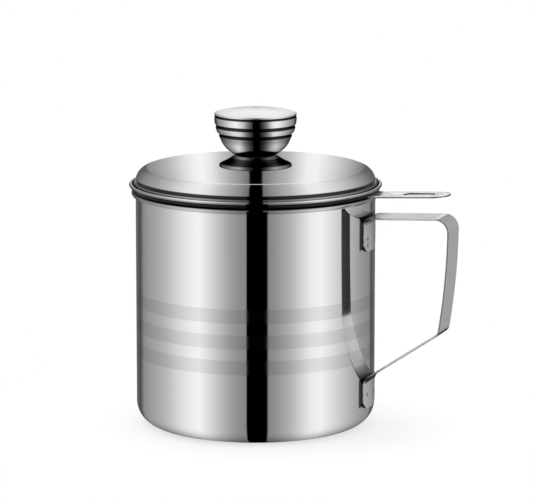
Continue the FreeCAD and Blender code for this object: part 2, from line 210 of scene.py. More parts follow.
def run(points, bends, arc_step, spacing=0.0):
    """Places along a bent line, each with its left side: even rows in the bends, and rows
    close to both ends of each straight, so that its shading stays straight."""
    rows = []
    near = 0.2

    def straight(start, end):
        way = (end[0] - start[0], end[1] - start[1])
        length = math.hypot(*way)
        if length < TINY:
            return
        side = (-way[1] / length, way[0] / length)
        marks = [0.0, length]
        if length > 4 * near:
            marks = [0.0, near, length - near, length]
        if spacing and length > spacing:
            steps = math.ceil(length / spacing)
            marks = sorted(set(marks + [length * i / steps for i in range(1, steps)]))
        for mark in marks:
            share = mark / length
            rows.append(((start[0] + way[0] * share, start[1] + way[1] * share), side))

    here = points[0]
    for before, corner, after, radius in zip(points, points[1:], points[2:], bends):
        into = unit((corner[0] - before[0], corner[1] - before[1]))
        out = unit((after[0] - corner[0], after[1] - corner[1]))
        cross = into[0] * out[1] - into[1] * out[0]
        turn = math.atan2(cross, into[0] * out[0] + into[1] * out[1])
        setback = radius * math.tan(abs(turn) / 2)
        start = (corner[0] - into[0] * setback, corner[1] - into[1] * setback)
        straight(here, start)
        side = math.copysign(1.0, turn)
        left = (-into[1], into[0])
        centre = (start[0] + left[0] * radius * side, start[1] + left[1] * radius * side)
        steps = max(3, math.ceil(abs(turn) / arc_step))
        if spacing:
            steps = max(steps, math.ceil(abs(turn) * radius / spacing))
        for i in range(1, steps):
            angle = turn * i / steps
            c, s = math.cos(angle), math.sin(angle)
            normal = (left[0] * c - left[1] * s, left[0] * s + left[1] * c)
            rows.append(((centre[0] - normal[0] * radius * side,
                          centre[1] - normal[1] * radius * side), normal))
        here = (corner[0] + out[0] * setback, corner[1] + out[1] * setback)
    straight(here, points[-1])
    kept = [rows[0]]
    for row in rows[1:]:
        if math.dist(row[0], kept[-1][0]) > SAME_PLACE:
            kept.append(row)
    return kept


def arc_points(centre, radius, start, end, steps):
    """Points of an arc in the section, angles in degrees."""
    return [(centre[0] + radius * math.cos(math.radians(start + (end - start) * i / steps)),
             centre[1] + radius * math.sin(math.radians(start + (end - start) * i / steps)))
            for i in range(steps + 1)]


def sheet_sides(rows, sheet):
    """Both faces of a bent sheet, in section, from the rows of its middle line."""
    half = sheet / 2
    return [[(p[0] + n[0] * out, p[1] + n[1] * out) for p, n in rows] for out in (half, -half)]


def sheet_outline(rows, sheet):
    """Closed section of a bent sheet."""
    left, right = sheet_sides(rows, sheet)
    return left + right[::-1]


def new_object(name, mesh_data):
    """The object of a bmesh, which is used up."""
    mesh = bpy.data.meshes.new(name)
    mesh_data.to_mesh(mesh)
    mesh_data.free()
    made = bpy.data.objects.new(name, mesh)
    bpy.context.scene.collection.objects.link(made)
    return made


def finish_mesh(name, mesh_data, smooth_angle):
    """A piece's object from a bmesh: doubles merged, faces outward and edges kept crisp."""
    bmesh.ops.remove_doubles(mesh_data, verts=mesh_data.verts, dist=MERGE_WITHIN)
    bmesh.ops.dissolve_degenerate(mesh_data, edges=mesh_data.edges, dist=MERGE_WITHIN)
    bmesh.ops.recalc_face_normals(mesh_data, faces=mesh_data.faces)
    piece = new_object(name, mesh_data)
    piece.data.shade_smooth()
    piece.data.set_sharp_from_angle(angle=math.radians(smooth_angle))
    return piece


def turned(name, outline, steps, closed=True):
    """A section in millimetres turned round the vertical axis."""
    mesh_data = bmesh.new()
    rings = []
    for radius, height in outline:
        if radius < TINY:
            rings.append([mesh_data.verts.new((0, 0, height * MM))])
            continue
        rings.append([mesh_data.verts.new((
            radius * MM * math.cos(2 * math.pi * i / steps),
            radius * MM * math.sin(2 * math.pi * i / steps), height * MM))
            for i in range(steps)])
    pairs = list(zip(rings, rings[1:]))
    if closed:
        pairs.append((rings[-1], rings[0]))
    for low, high in pairs:
        for i in range(steps):
            j = (i + 1) % steps
            corners = [low[i % len(low)], low[j % len(low)],
                       high[j % len(high)], high[i % len(high)]]
            face = []
            for corner in corners:
                if corner not in face:
                    face.append(corner)
            if len(face) > 2:
                mesh_data.faces.new(face)
    return finish_mesh(name, mesh_data, 35.0)


def skin(name, loops, cap_ends=False):
    """Faces between loops of equal length; capped at both ends or closed on itself."""
    mesh_data = bmesh.new()
    rings = [[mesh_data.verts.new([c * MM for c in point]) for point in loop] for loop in loops]
    pairs = list(zip(rings, rings[1:]))
    if not cap_ends:
        pairs.append((rings[-1], rings[0]))
    count = len(rings[0])
    for low, high in pairs:
        for i in range(count):
            j = (i + 1) % count
            mesh_data.faces.new([low[i], low[j], high[j], high[i]])
    if cap_ends:
        mesh_data.faces.new(rings[0])
        mesh_data.faces.new(rings[-1])
    return finish_mesh(name, mesh_data, 40.0)


def place(piece, body, slot, material, *nodes):
    """Dress a finished piece, put it on its body and let it stand for its solids."""
    piece.data.materials.clear()
    piece.data.materials.append(material)
    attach(piece, body)
    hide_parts(*nodes)


def new_node(tree, kind, inputs, **settings):
    """A node's outputs, once its settings are made and its inputs are fed."""
    node = tree.nodes.new(kind)
    for key, value in settings.items():
        setattr(node, key, value)
    for key, value in inputs.items():
        feed(tree, node.inputs[key], value)
    return node.outputs


def feed(tree, socket, value):
    """Set a socket, or link it where the value is another node's output."""
    if isinstance(value, (int, float, tuple)):
        socket.default_value = value
    else:
        tree.links.new(value, socket)


class Finish:
    """One node material, built a node at a time."""

    def __init__(self, name):
        self.material = bpy.data.materials.new(name)
        self.material.use_nodes = True
        self.tree = self.material.node_tree
        self.nodes = self.tree.nodes
        self.shader = self.nodes["Principled BSDF"]
        coordinates = self.nodes.new("ShaderNodeTexCoord").outputs
        self.point, self.facing = coordinates["Object"], coordinates["Normal"]

    def add(self, kind, inputs, **settings):
        return new_node(self.tree, kind, inputs, **settings)

    def feed(self, socket, value):
        feed(self.tree, socket, value)

    def math(self, operation, *values):
        return self.add("ShaderNodeMath", dict(enumerate(values)), operation=operation)[0]

    def product(self, first, *others):
        for value in others:
            first = self.math("MULTIPLY", first, value)
        return first

    def length(self, first, second):
        """Length of the way with these two legs."""
        return self.math("SQRT", self.math("MULTIPLY_ADD", first, first,
                                           self.math("MULTIPLY", second, second)))

    def split(self, vector):
        return self.add("ShaderNodeSeparateXYZ", {0: vector})

    def dot(self, vector, axis):
        return self.add("ShaderNodeVectorMath", {0: vector, 1: axis},
                        operation="DOT_PRODUCT")["Value"]

    def noise(self, scale, detail, stretch=None, roughness=0.5, point=None):
        point = self.point if point is None else point
        if stretch:
            point = self.add("ShaderNodeMapping", {"Vector": point, "Scale": stretch})[0]
        return self.add("ShaderNodeTexNoise", {
            "Vector": point, "Scale": scale, "Detail": detail, "Roughness": roughness})["Fac"]

    def spread(self, value, low, high, from_low=0.0, from_high=1.0, kind="LINEAR"):
        """The value's range from from_low to from_high, laid out from low to high."""
        return self.add("ShaderNodeMapRange", {
            "Value": value, "From Min": from_low, "From Max": from_high,
            "To Min": low, "To Max": high}, interpolation_type=kind)["Result"]

    def fade(self, value, low, high):
        """A soft step from nothing to one."""
        return self.spread(value, 0.0, 1.0, low, high, "SMOOTHSTEP")

    def mixed(self, share, first, second, kind="MIX"):
        """Colour mix: inputs 6 and 7 are its two colours and output 2 is the result."""
        first, second = ((*c, 1) if isinstance(c, tuple) else c for c in (first, second))
        return self.add("ShaderNodeMix", {"Factor": share, 6: first, 7: second},
                        data_type="RGBA", blend_type=kind)[2]

    def bump(self, height, distance):
        return self.add("ShaderNodeBump", {
            "Height": height, "Distance": distance, "Strength": 1.0})["Normal"]

    def end(self, colour, roughness, normal, metallic=1.0):
        for name, value in (("Base Color", colour), ("Roughness", roughness),
                            ("Normal", normal), ("Metallic", metallic)):
            self.feed(self.shader.inputs[name], value)
        return self.material


def toned(colour, share):
    return tuple(c * share for c in colour)


def within(made, value, low, high, soft):
    """One between the two borders, with a soft step at each."""
    return made.product(made.spread(value, 0.0, 1.0, (low - soft) * MM, (low + soft) * MM),
                        made.spread(value, 1.0, 0.0, (high - soft) * MM, (high + soft) * MM))


# Painted shade on the polished pieces, where shade and dark reflections fall in hollows, gaps,
# grooves and under rims, in millimetres: radius from and to, height from and to, softness of the
# border and depth of the shade
POT_PAINTED_SHADE = [(60.1, 63.0, 117.9, 119.5, 0.15, 0.96), (60.3, 63.0, 114.5, 118.2, 0.3, 0.35)]
STRAINER_PAINTED_SHADE = [(59.0, 61.95, 119.3, 122.0, 0.12, 0.95),
                     (61.0, 64.0, 118.0, 120.95, 0.15, 0.97),
                     (62.0, 64.0, 120.9, 121.6, 0.15, 0.5)]
LID_PAINTED_SHADE = [(59.3, 60.25, 122.6, 124.7, 0.2, 0.95), (60.2, 62.0, 122.0, 123.4, 0.1, 0.6),
                (58.0, 62.0, 119.0, 122.0, 0.15, 0.95)]
COLLAR_PAINTED_SHADE = [(11.3, 17.2, 131.4, 135.0, 0.25, 0.8), (17.0, 19.0, 130.0, 130.8, 0.1, 0.8)]
BOWL_PAINTED_SHADE = [(0.0, 30.0, 150.1, 151.95, 0.15, 0.96), (0.0, 30.0, 145.75, 147.65, 0.15, 0.96),
                 (0.0, 30.0, 155.35, 157.5, 0.15, 0.96), (0.0, 30.0, 143.6, 146.0, 1.6, 0.6)]


def with_painted_shade(made, colour, radius, height, painted_shade):
    """The colour with painted shade, darkened in the hollows and gaps where shade falls."""
    light = 1.0
    for near, far, low, high, soft, depth in painted_shade:
        inside = made.product(within(made, radius, near, far, soft),
                              within(made, height, low, high, soft))
        light = made.math("MULTIPLY", light, made.math("MULTIPLY_ADD", inside, -depth, 1.0))
    return made.mixed(1.0, colour, light, "MULTIPLY")


# Painted reflection in the middle of the knob's front and back, a dark band as the gap between two
# soft boxes mirrors there, in millimetres: its two levels, its half width at each of them, and the
# level of the painted dark foot below and how far that swells upward
BOWL_PAINTED_REFLECTION = (141.0, 155.0, 9.5, 6.5, 138.1, 2.3)
COLLAR_PAINTED_REFLECTION = (130.0, 136.0, 9.0, 9.0, 120.0, 0.0)
# Its middle's offset, the curve of its fall, and the foot's half width, softness and light
FRONT_MIDDLE = 1.2
FRONT_CURVE = 1.8
FOOT_HALF = 11.5
FOOT_SOFT = 0.3
FOOT_LIGHT = 0.03


def painted_front_reflection(made, colour, height, front):
    """Painted reflection and shade: darker towards the middle of the front and the back, as the gap
    between two soft boxes mirrors there, and a dark foot below.
    """
    low, high, low_width, high_width, foot, swell = front
    turn = math.radians(CAMERA_TURN)
    side = made.dot(made.point, (math.cos(turn), math.sin(turn), 0.0))
    side = made.math("ABSOLUTE", made.math("SUBTRACT", side, FRONT_MIDDLE * MM))
    width = made.spread(height, low_width * MM, high_width * MM, low * MM, high * MM)
    share = made.math("MINIMUM", made.math("DIVIDE", side, width), 1.0)
    rise = made.math("MULTIPLY_ADD", made.product(side, side), -1.0 / (FOOT_HALF * MM) ** 2, 1.0)
    lifted = made.math("MULTIPLY_ADD", made.math("MAXIMUM", 0.0, rise), -swell * MM, height)
    above_foot = made.spread(lifted, FOOT_LIGHT, 1.0, (foot - FOOT_SOFT) * MM,
                             (foot + FOOT_SOFT) * MM)
    light = made.product(made.math("POWER", share, FRONT_CURVE), above_foot)
    return made.mixed(1.0, colour, light, "MULTIPLY")


# Shade on the wall round the handle's tabs, in millimetres
TAB_SHADE_HALF = 12.3
TAB_SHADE_SOFT = 0.5
TAB_SHADE_LEVELS = [(92.6, 109.5), (13.2, 27.5)]
TAB_SHADE_DEPTH = 0.95


def tab_shaded(made, colour, height):
    """Darker on the wall close round each tab of the handle."""
    x, y, _ = made.split(made.point)
    beside = made.spread(made.math("ABSOLUTE", y), 1.0, 0.0,
                         (TAB_SHADE_HALF - TAB_SHADE_SOFT) * MM,
                         (TAB_SHADE_HALF + TAB_SHADE_SOFT) * MM)
    share = 0.0
    for low, high in TAB_SHADE_LEVELS:
        share = made.math("MAXIMUM", share, within(made, height, low, high, TAB_SHADE_SOFT))
    share = made.product(beside, made.math("GREATER_THAN", x, 0.0), share, TAB_SHADE_DEPTH)
    return made.mixed(share, colour, (0.0, 0.0, 0.0))


def banded(made, colour, roughness, height, bands):
    """Three satin bands, a little darker and rougher than the polish."""
    low, step, width = bands
    offset = made.math("SUBTRACT", height, low)
    band = made.product(made.math("LESS_THAN", made.math("MODULO", offset, step), width),
                        made.math("GREATER_THAN", offset, 0.0),
                        made.math("LESS_THAN", offset, step * BAND_COUNT))
    grain = made.spread(made.noise(1.0, 4.0, (30.0, 30.0, 9000.0)), 0.82, 0.88, 0.3, 0.7)
    return (made.mixed(band, colour, grain, "MULTIPLY"),
            made.math("MULTIPLY_ADD", band, 0.04, roughness))


def satin_inside(made, radius, height, roughness):
    """The pot's inside isn't polished: its roughness, and less of the mirror's depth."""
    out = made.math("SUBTRACT", radius, (POT_RADIUS - POT_CORNER) * MM)
    down = made.math("SUBTRACT", POT_CORNER * MM, height)
    away = made.length(made.math("MAXIMUM", out, 0.0), made.math("MAXIMUM", down, 0.0))
    middle = (POT_CORNER - POT_SHEET / 2) * MM
    inside = made.spread(away, 1.0, 0.0, middle - 0.05 * MM, middle + 0.05 * MM)
    return (made.math("MULTIPLY_ADD", inside, 0.3, roughness),
            made.math("MULTIPLY_ADD", inside, -0.4, 1.0))


def mirror_steel(name, colour, rough=0.03, ring_depth=0.3, edge_tint=1.0, painted_shade=None,
                 front=None, bands=None):
    """Mirror polish with soft haze and the faint rings of the lathe. Only the pot has bands,
    and with them the shade round its handle's tabs and a satin inside."""
    made = Finish(name)
    x, y, height = made.split(made.point)
    radius = made.length(x, y)
    along = made.add("ShaderNodeCombineXYZ", {
        0: made.math("MULTIPLY", radius, RING_SCALE), 2: made.math("MULTIPLY", height, RING_SCALE)})
    rings = made.noise(1.0, 4.0, point=along[0])
    roughness = made.spread(made.noise(40.0, 3.0), rough * 0.6, rough * 1.5)
    shade = made.mixed(made.spread(rings, 0.0, 1.0, 0.3, 0.7), colour, toned(colour, 0.97))
    metallic = 1.0
    if bands:
        shade, roughness = banded(made, shade, roughness, height, bands)
    # Painted shade in hollows, gaps and grooves, where shade and dark reflections fall
    if painted_shade:
        shade = with_painted_shade(made, shade, radius, height, painted_shade)
    if bands:
        shade = tab_shaded(made, shade, height)
        roughness, metallic = satin_inside(made, radius, height, roughness)
    # Painted reflection of a dark band at the front and back, with a painted dark foot
    if front:
        shade = painted_front_reflection(made, shade, height, front)
    made.shader.inputs["Specular Tint"].default_value = (edge_tint, edge_tint, edge_tint, 1)
    return made.end(shade, roughness, made.bump(rings, ring_depth * MICRON), metallic)


# Borders of the marks on the strap, each from and to, in metres: its cut edge across, the grip, the
# roots, above the upper tab, the tabs' faces, and the lower run's upper face. The roots get painted
# shade and the lower run's upper face gets painted light
STRAP_CUT = ((STRAP_WIDTH / 2 - 0.2) * MM, (STRAP_WIDTH / 2 - 0.05) * MM)
GRIP_FROM = (0.0965, 0.0985)
ROOT_TO = (0.0615, 0.0715)
ABOVE_TAB = (0.1045, 0.1065)
WALL_TO = (0.0625, 0.0635)
RUN_BELOW = (0.052, 0.056)
RUN_FROM = (0.066, 0.072)
# Levels of the lower root's painted shade and their softness, in millimetres
LOWER_ROOT = (26.0, 40.0, 0.8)


def tumbled_steel(name, colour):
    """Tumbled strap: bright, softly mottled faces, pitted cut edges and spot weld marks, with
    painted shade at the roots, under the runs, on the grip's inner face and cut edges, and painted
    light on the lower run's upper face.
    """
    made = Finish(name)
    black = (0.0, 0.0, 0.0)
    fine = made.noise(900.0, 5.0, roughness=0.65)
    patches = made.noise(110.0, 3.0)
    specks = made.noise(700.0, 2.0)
    x, y, z = made.split(made.point)
    facing_x, _, facing_z = made.split(made.facing)
    shade = made.mixed(made.spread(fine, 0.0, 0.5, 0.35, 0.7), colour, toned(colour, 0.92))
    shade = made.mixed(made.spread(patches, 0.0, 0.3, 0.4, 0.7), shade, toned(colour, 0.88))
    edge = made.spread(made.math("ABSOLUTE", y), 0.0, 1.0, *STRAP_CUT)
    pitted = made.product(edge, made.spread(specks, 0.1, 0.45, 0.45, 0.6))
    shade = made.mixed(pitted, shade, toned(colour, 0.4))
    # Painted shade: the grip's cut edges darker
    grip = made.spread(x, 0.0, 1.0, *GRIP_FROM)
    shade = made.mixed(made.product(edge, grip, 0.8), shade, toned(colour, 0.2))
    on_wall = made.spread(x, 1.0, 0.0, *WALL_TO)
    for side, level in WELDS:
        away = made.length(made.math("SUBTRACT", y, side * MM),
                           made.math("SUBTRACT", z, level * MM))
        mark = made.spread(away, 0.85, 0.0, 0.35 * WELD_RADIUS * MM, WELD_RADIUS * MM)
        shade = made.mixed(made.product(mark, on_wall), shade, toned(colour, 0.15))
    # Painted shade near the wall at the roots of the upper and lower runs
    beyond_tabs = made.math("MAXIMUM", made.spread(z, 0.0, 1.0, *ABOVE_TAB),
                            within(made, z, *LOWER_ROOT))
    root = made.product(made.spread(x, 0.9, 0.0, *ROOT_TO), beyond_tabs)
    shade = made.mixed(root, shade, black)
    # Painted light: the lower run's upper face made nearly white and less metallic
    painted_light_run = made.product(made.spread(facing_z, 0.0, 1.0, 0.5, 0.75),
                             made.spread(z, 1.0, 0.0, *RUN_BELOW),
                             made.spread(x, 0.0, 1.0, *RUN_FROM))
    shade = made.mixed(painted_light_run, shade, (0.98, 0.98, 0.98))
    # Painted shade on the faces that look down and on the grip's inner face, which looks towards
    # the pot
    under = made.spread(facing_z, 0.9, 0.0, -0.35, -0.18)
    inner = made.product(made.spread(facing_x, 0.85, 0.0, -0.9, -0.6), grip)
    shade = made.mixed(made.math("MAXIMUM", under, inner), shade, black)
    roughness = made.math("ADD", made.spread(fine, 0.16, 0.23, 0.3, 0.7),
                          made.spread(patches, -0.02, 0.03, 0.3, 0.7))
    return made.end(shade, made.math("MAXIMUM", roughness, under), made.bump(fine, 1.2 * MICRON),
                    made.math("MULTIPLY_ADD", painted_light_run, -0.6, 0.65))


def bright_plate(name, colour):
    """Polished plate with lengthwise grain: bright flat faces, with painted shade on the cut edges
    and the slot's walls.
    """
    made = Finish(name)
    grain = made.noise(60.0, 5.0, (1.0, 40.0, 40.0), 0.65)
    upright = made.math("ABSOLUTE", made.split(made.facing)[2])
    beside = made.math("ABSOLUTE", made.split(made.point)[1])
    face = made.mixed(made.spread(grain, 0.0, 1.0, 0.35, 0.7), colour, toned(colour, 0.94))
    # Painted shade: the slot's walls nearly black and the outer cut edges darker
    past_slot = made.spread(beside, 0.04, 0.3, (SLOT_WIDTH / 2 + 0.3) * MM,
                            (SLOT_WIDTH / 2 + 0.7) * MM)
    cut = made.mixed(past_slot, (0.0, 0.0, 0.0), colour)
    shade = made.mixed(made.spread(upright, 0.0, 1.0, 0.45, 0.85), cut, face)
    return made.end(shade, made.spread(grain, 0.15, 0.22, 0.3, 0.7), made.bump(grain, MICRON), 0.85)


def soft_steel(name, colour, rough, grain, grain_depth):
    """Satin steel: fine grain in the colour, the roughness and the bump."""
    made = Finish(name)
    fine = made.noise(grain, 5.0, roughness=0.65)
    patches = made.noise(160.0, 4.0)
    roughness = made.math("ADD", made.spread(fine, rough * 0.75, rough * 1.25, 0.3, 0.7),
                          made.spread(patches, -0.04, 0.04, 0.3, 0.7))
    shade = made.mixed(made.spread(fine, 0.0, 1.0, 0.35, 0.7), colour, toned(colour, 0.8))
    worn = made.mixed(made.spread(patches, 0.0, 0.35, 0.4, 0.7), shade, toned(colour, 0.7))
    return made.end(worn, roughness, made.bump(fine, grain_depth))


def boss_plastic(name, colour):
    """Moulded plastic with a fine matt grain."""
    made = Finish(name)
    grain = made.noise(2500.0, 3.0)
    shade = made.mixed(grain, colour, toned(colour, 1.5))
    return made.end(shade, made.spread(grain, 0.45, 0.6), made.bump(grain, 10 * MICRON), 0.0)


def finish_of(name):
    """The named material, made the first time it is asked for."""
    found = bpy.data.materials.get(name)
    if found:
        return found
    sizes, tones = bpy.context.scene.can_sizes, bpy.context.scene.can_finish
    mirror, strap, tab, satin, plated, plastic = (tuple(tone) for tone in (
        tones.mirror, tones.strap, tones.tab, tones.satin, tones.plated, tones.plastic))
    bands = (sizes.band_low, sizes.band_step, sizes.band_width)
    recipes = {
        "mirror_pot": lambda: mirror_steel(name, mirror, painted_shade=POT_PAINTED_SHADE, bands=bands),
        "mirror_lid": lambda: mirror_steel(name, mirror, 0.014, 0.04, painted_shade=LID_PAINTED_SHADE),
        "mirror_bowl": lambda: mirror_steel(name, mirror, edge_tint=0.35,
                                            painted_shade=BOWL_PAINTED_SHADE, front=BOWL_PAINTED_REFLECTION),
        "mirror_cap": lambda: mirror_steel(name, mirror, 0.24, 0.05),
        # The collar's colour is darkened as painted shade and reflection, for it mirrors the dark
        # underside of the bowl
        "painted_dark_collar": lambda: mirror_steel(name, toned(mirror, 0.4), 0.06, edge_tint=0.15,
                                            painted_shade=COLLAR_PAINTED_SHADE, front=COLLAR_PAINTED_REFLECTION),
        "mirror_strainer": lambda: mirror_steel(name, toned(mirror, 0.95), 0.05,
                                                painted_shade=STRAINER_PAINTED_SHADE),
        "tumbled_strap": lambda: tumbled_steel(name, strap),
        "satin_tab": lambda: bright_plate(name, tab),
        "woven_wire": lambda: soft_steel(name, satin, 0.32, 3000.0, MICRON),
        "plated_fastener": lambda: soft_steel(name, plated, 0.28, 1500.0, 2 * MICRON),
        "boss_plastic": lambda: boss_plastic(name, plastic)}
    return recipes[name]()


class CanOperator:
    """What the operators share."""
    bl_options = {"REGISTER", "UNDO"}

    @property
    def sizes(self):
        return bpy.context.scene.can_sizes


class MakePotBody(CanOperator, bpy.types.Operator):
    """Make the drawn can with its round corner and rolled bead"""
    bl_idname = "grease_can.pot_body"
    bl_label = "Pot body"

    def execute(self, context):
        bore = POT_RADIUS - POT_SHEET
        corner = (POT_RADIUS - POT_CORNER, POT_CORNER)
        outline = [(0, POT_SHEET), (corner[0] - NEAR_BEND, POT_SHEET)]
        outline += arc_points(corner, POT_CORNER - POT_SHEET, -90, 0, steps=14)
        outline += [(bore, POT_CORNER + NEAR_BEND), (bore, BEAD_CENTRE[1] - NEAR_BEND)]
        outline += arc_points(BEAD_CENTRE, BEAD_RADIUS, 180, BEAD_END, steps=40)
        outline += arc_points(BEAD_CENTRE, BEAD_RADIUS - POT_SHEET, BEAD_END, 180, steps=40)
        outline += [(POT_RADIUS, BEAD_CENTRE[1] - NEAR_BEND), (POT_RADIUS, POT_CORNER + NEAR_BEND)]
        outline += arc_points(corner, POT_CORNER, 0, -90, steps=16)
        outline += [(corner[0] - NEAR_BEND, 0), (0, 0)]
        piece = turned("can_body", outline, self.sizes.turn_steps, closed=False)
        place(piece, "pot", "mirror_steel", finish_of("mirror_pot"), "pot_body")
        return {"FINISHED"}


def strap_section(half_width, columns):
    """Rounded section of the strap: across and out of its middle line."""
    flat, level = half_width - STRAP_EDGE, STRAP_SHEET / 2 - STRAP_EDGE
    points = [(-flat + 2 * flat * i / columns, STRAP_SHEET / 2) for i in range(columns + 1)]
    points += arc_points((flat, level), STRAP_EDGE, 67.5, 0, steps=3)
    points += arc_points((flat, -level), STRAP_EDGE, 0, -67.5, steps=3)
    return points + [(-x, -z) for x, z in points]


class MakePotHandle(CanOperator, bpy.types.Operator):
    """Make the bent strap handle with its curved, spot welded tabs"""
    bl_idname = "grease_can.pot_handle"
    bl_label = "Pot handle"

    def execute(self, context):
        rows = run(STRAP_POINTS, STRAP_BENDS, self.sizes.arc_step, STRAP_SPACING)
        loops = []
        for (x, z), normal, half_width in self.with_rounded_ends(rows):
            on_wall = self.tab_share(x)
            loop = []
            for across, out in strap_section(half_width, STRAP_COLUMNS):
                px = x + normal[0] * out
                pz = z + normal[1] * out
                if on_wall:
                    away = px - STRAP_POINTS[0][0] + STRAP_SHEET / 2
                    curved = math.sqrt((POT_RADIUS + away) ** 2 - across ** 2)
                    px += (curved - px) * on_wall
                px -= self.weld_dip(px, across, pz, out)
                loop.append((px, across, pz))
            loops.append(loop)
        piece = skin("strap_handle", loops, cap_ends=True)
        place(piece, "pot", "tumbled_steel", finish_of("tumbled_strap"), "pot_handle")
        return {"FINISHED"}

    def with_rounded_ends(self, rows):
        """Each row with its half width; the rows at both tabs narrow round their corners."""
        half = STRAP_WIDTH / 2
        (low, low_normal), (high, high_normal) = rows[0], rows[-1]
        first, last = [], []
        for angle in (2, 8, 16, 26, 36, 48, 60, 75):
            a = math.radians(angle)
            rise = TAB_CORNER * (1 - math.cos(a))
            width = half - TAB_CORNER + TAB_CORNER * math.sin(a)
            first.append(((low[0], low[1] + rise), low_normal, width))
            last.append(((high[0], high[1] + rise), high_normal, width))
        body = [(p, n, half) for p, n in rows
                if p[0] > POT_RADIUS + 1 or p[1] > max(low[1] + TAB_CORNER, BETWEEN_TABS)
                or high[1] + TAB_CORNER < p[1] < BETWEEN_TABS]
        return first + body + last[::-1]

    def tab_share(self, x):
        """How far a row follows the round wall: all of it on a tab, none out on the runs."""
        reach = (x - STRAP_POINTS[0][0]) / ROOT_REACH
        return max(0.0, min(1.0, 1.0 - reach)) ** 2

    def weld_dip(self, x, across, height, out):
        """Depth of the spot weld marks in the outer face of a tab."""
        if out < 0 and x < POT_RADIUS + 1.5 * STRAP_SHEET:
            for side, level in WELDS:
                away = math.hypot(across - side, height - level) / WELD_RADIUS
                if away < 1:
                    return WELD_DEPTH * (1 - away * away)
        return 0.0


class MakeStrainer(CanOperator, bpy.types.Operator):
    """Make the strainer's pressed cup and its lifting tab"""
    bl_idname = "grease_can.strainer"
    bl_label = "Strainer cup and tab"

    def execute(self, context):
        left, right = sheet_sides(run(CUP_POINTS, CUP_BENDS, self.sizes.arc_step), CUP_SHEET)
        edge = arc_points(BRIM_EDGE_CENTRE, BRIM_EDGE_RADIUS, 180, BRIM_EDGE_END,
                          steps=30)
        piece = turned("strainer_bowl", left[:-1] + edge + right[:-1][::-1],
                       self.sizes.turn_steps)
        place(piece, "strainer", "polished_steel", finish_of("mirror_strainer"),
              "strainer_cup")
        self.make_tab()
        return {"FINISHED"}

    def borders(self, ends, sides):
        """The tab's outline and its slot, as two loops of equal count."""
        half, slot_half = TAB_WIDTH / 2, SLOT_WIDTH / 2
        tip, root = TAB_TIP - half, math.sqrt(TAB_ROOT ** 2 - half ** 2)
        slot_near, slot_far = SLOT[0] + slot_half, SLOT[1] - slot_half
        shares = [i / sides for i in range(1, sides + 1)]
        outer_x = [tip + (root - tip) * share for share in shares]
        inner_x = [slot_far + (slot_near - slot_far) * share for share in shares]
        outer = arc_points((tip, 0), half, -90, 90, ends) + [(x, half) for x in outer_x]
        inner = arc_points((slot_far, 0), slot_half, -90, 90, ends)
        inner += [(x, slot_half) for x in inner_x]
        for i in range(1, ends):
            across = half * (1 - 2 * i / ends)
            outer.append((math.sqrt(TAB_ROOT ** 2 - across ** 2), across))
        inner += arc_points((slot_near, 0), slot_half, 90, 270, ends)[1:-1]
        outer += [(x, -half) for x in reversed(outer_x)]
        inner += [(x, -slot_half) for x in reversed(inner_x)]
        return zip(outer, inner)

    def make_tab(self):
        """A plate between its outline and its slot, with rounded edges at both."""
        flat, small = TAB_SHEET / 2, TAB_EDGE * 0.3
        section = [(0.0, TAB_EDGE - flat), (0.0, flat - TAB_EDGE), (small, flat - small),
                   (TAB_EDGE, flat)]
        places = [(inset, z, False) for inset, z in section]
        places += [(inset, z, True) for inset, z in reversed(section)]
        places += [(inset, -z, True) for inset, z in section[1:]]
        places += [(inset, -z, False) for inset, z in reversed(section[1:])]
        borders = list(self.borders(ends=24, sides=30))
        loops = []
        for inset, z, from_outline in places:
            loop = []
            for (ox, oy), (ix, iy) in borders:
                length = math.hypot(ox - ix, oy - iy)
                share = (length - inset if from_outline else inset) / length
                x, y = ix + (ox - ix) * share, iy + (oy - iy) * share
                rise = TAB_RISE * max(0.0, x - TAB_FLAT_END) / (TAB_TIP - TAB_FLAT_END)
                loop.append((x, y, TAB_LEVEL + rise + z))
            loops.append(loop)
        piece = skin("lifting_tab", loops)
        place(piece, "strainer", "satin_steel", finish_of("satin_tab"), "strainer_tab")


